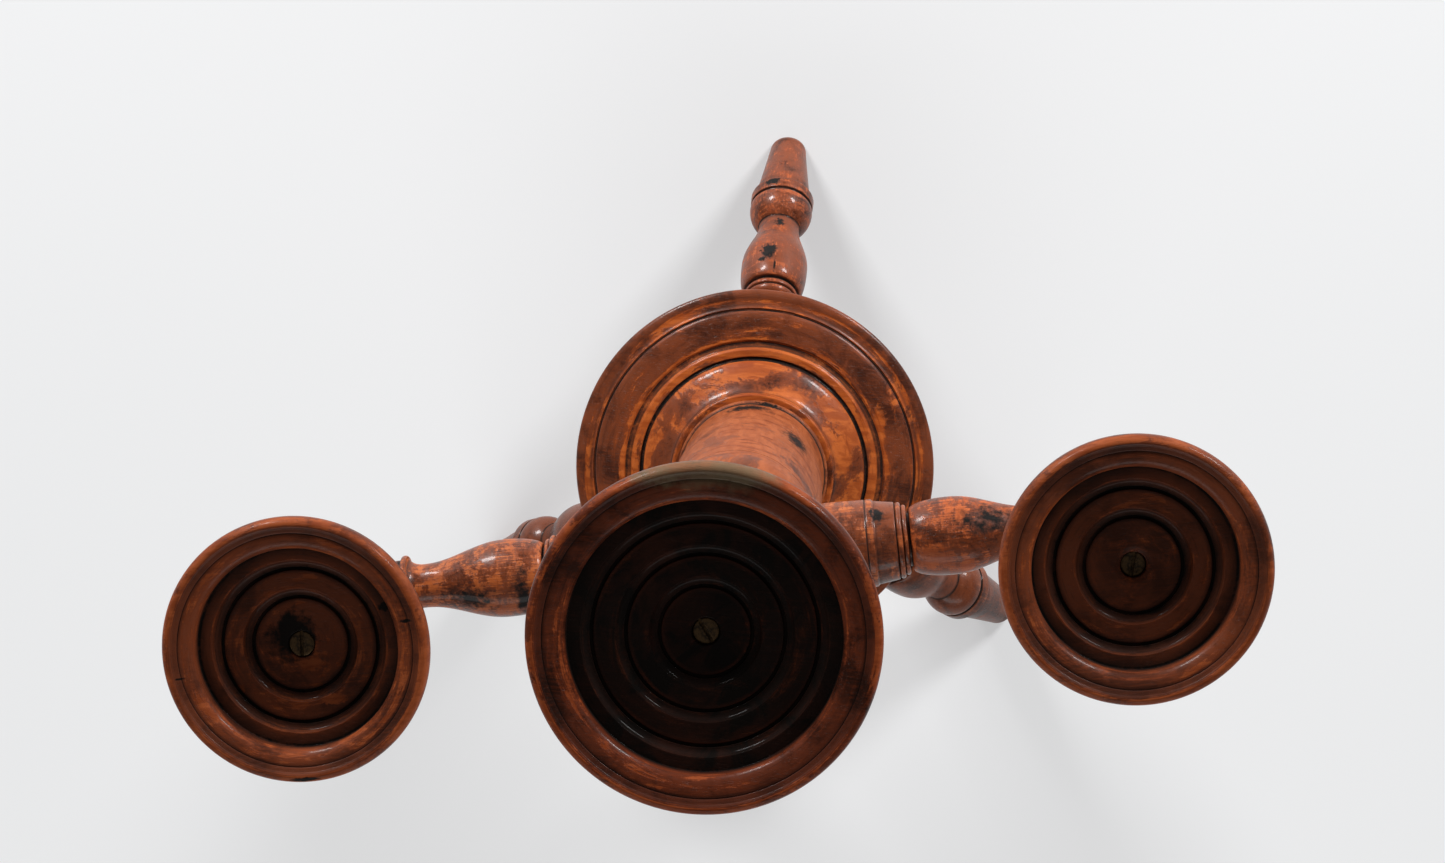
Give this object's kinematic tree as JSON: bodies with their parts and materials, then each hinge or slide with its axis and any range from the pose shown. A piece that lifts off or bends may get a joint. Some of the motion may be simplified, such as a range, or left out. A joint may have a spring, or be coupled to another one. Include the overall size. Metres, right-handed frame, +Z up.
{
  "type": "turned tripod stand with cups",
  "caption": "Turned wooden floor stand: splayed legs under a moulded disc, a column, a swivelling cross-arm, and stepped dish cups on stems at its ends and over the middle.",
  "frame": {"origin": "on the floor, under the middle of the column's axis", "axes": "+Z up along the column, +Y towards the back leg, the cross-arm 11 degrees off +X"},
  "size_m": [0.355, 0.2207, 0.481],
  "materials": {
    "turned_wood": "worn red-brown varnish over bare orange wood",
    "cup_wood": "dark brown varnish, grimy in the grooves",
    "screw_metal": "tarnished, dull"
  },
  "bodies": {
    "stand": {"base_disc": "turned_wood", "column": "turned_wood", "column_wedge": "turned_wood", "leg_back": "turned_wood", "leg_left": "turned_wood", "leg_right": "turned_wood", "centre_stem": "turned_wood", "centre_cup": "cup_wood", "centre_screw": "screw_metal"},
    "cross_arm": {"hub": "turned_wood", "arm_left": "turned_wood", "arm_right": "turned_wood", "stem_left": "turned_wood", "stem_right": "turned_wood", "cup_left": "cup_wood", "cup_right": "cup_wood", "screw_left": "screw_metal", "screw_right": "screw_metal"}
  },
  "joints": [
    {"name": "arm_swivel", "type": "hinge", "parent": "stand", "child": "cross_arm", "pos_m": [0, 0, 0.3265], "axis": [0, 0, 1], "continuous": true}
  ]
}
